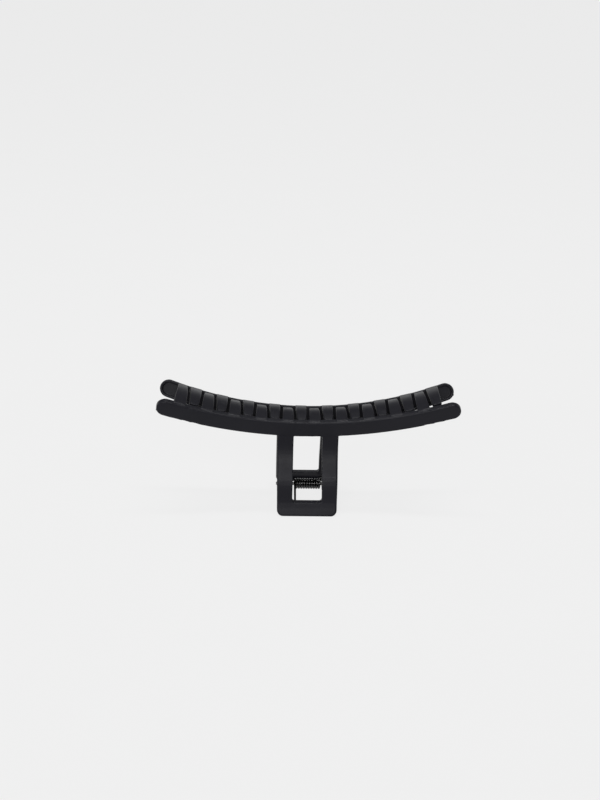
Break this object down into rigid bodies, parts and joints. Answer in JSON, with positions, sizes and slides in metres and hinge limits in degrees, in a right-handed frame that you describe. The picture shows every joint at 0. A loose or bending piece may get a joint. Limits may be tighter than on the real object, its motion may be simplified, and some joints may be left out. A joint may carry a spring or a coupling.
{
  "type": "claw clip",
  "caption": "Hair claw clip: two curved jaws with interlocking arched teeth and windowed handles, on a hinge pin with a torsion spring that holds them shut.",
  "frame": {"origin": "centre of the rectangle that the two handle ends stand on: the middle of the clip's length, between the jaws, at the lowest point", "axes": "+X along the clip, +Y from the front jaw to the rear jaw, +Z from the handle ends up to the teeth"},
  "size_m": [0.11, 0.032, 0.044],
  "materials": {
    "soft_touch_black": "matt soft-touch moulding",
    "spring_steel": "blackened drawn wire",
    "pin_steel": "blackened drawn pin"
  },
  "bodies": {
    "rear_half": {"rear_jaw": "soft_touch_black", "hinge_pin": "pin_steel", "torsion_spring": "spring_steel"},
    "front_half": {"front_jaw": "soft_touch_black"}
  },
  "joints": [
    {"name": "jaw_hinge", "type": "hinge", "parent": "rear_half", "child": "front_half", "pos_m": [0, 0, 0.00585], "axis": [1, 0, 0], "range_deg": [0, 60], "stiffness_Nm_per_rad": 0.06, "springref_deg": -51.57, "deforming": ["torsion_spring"]}
  ]
}
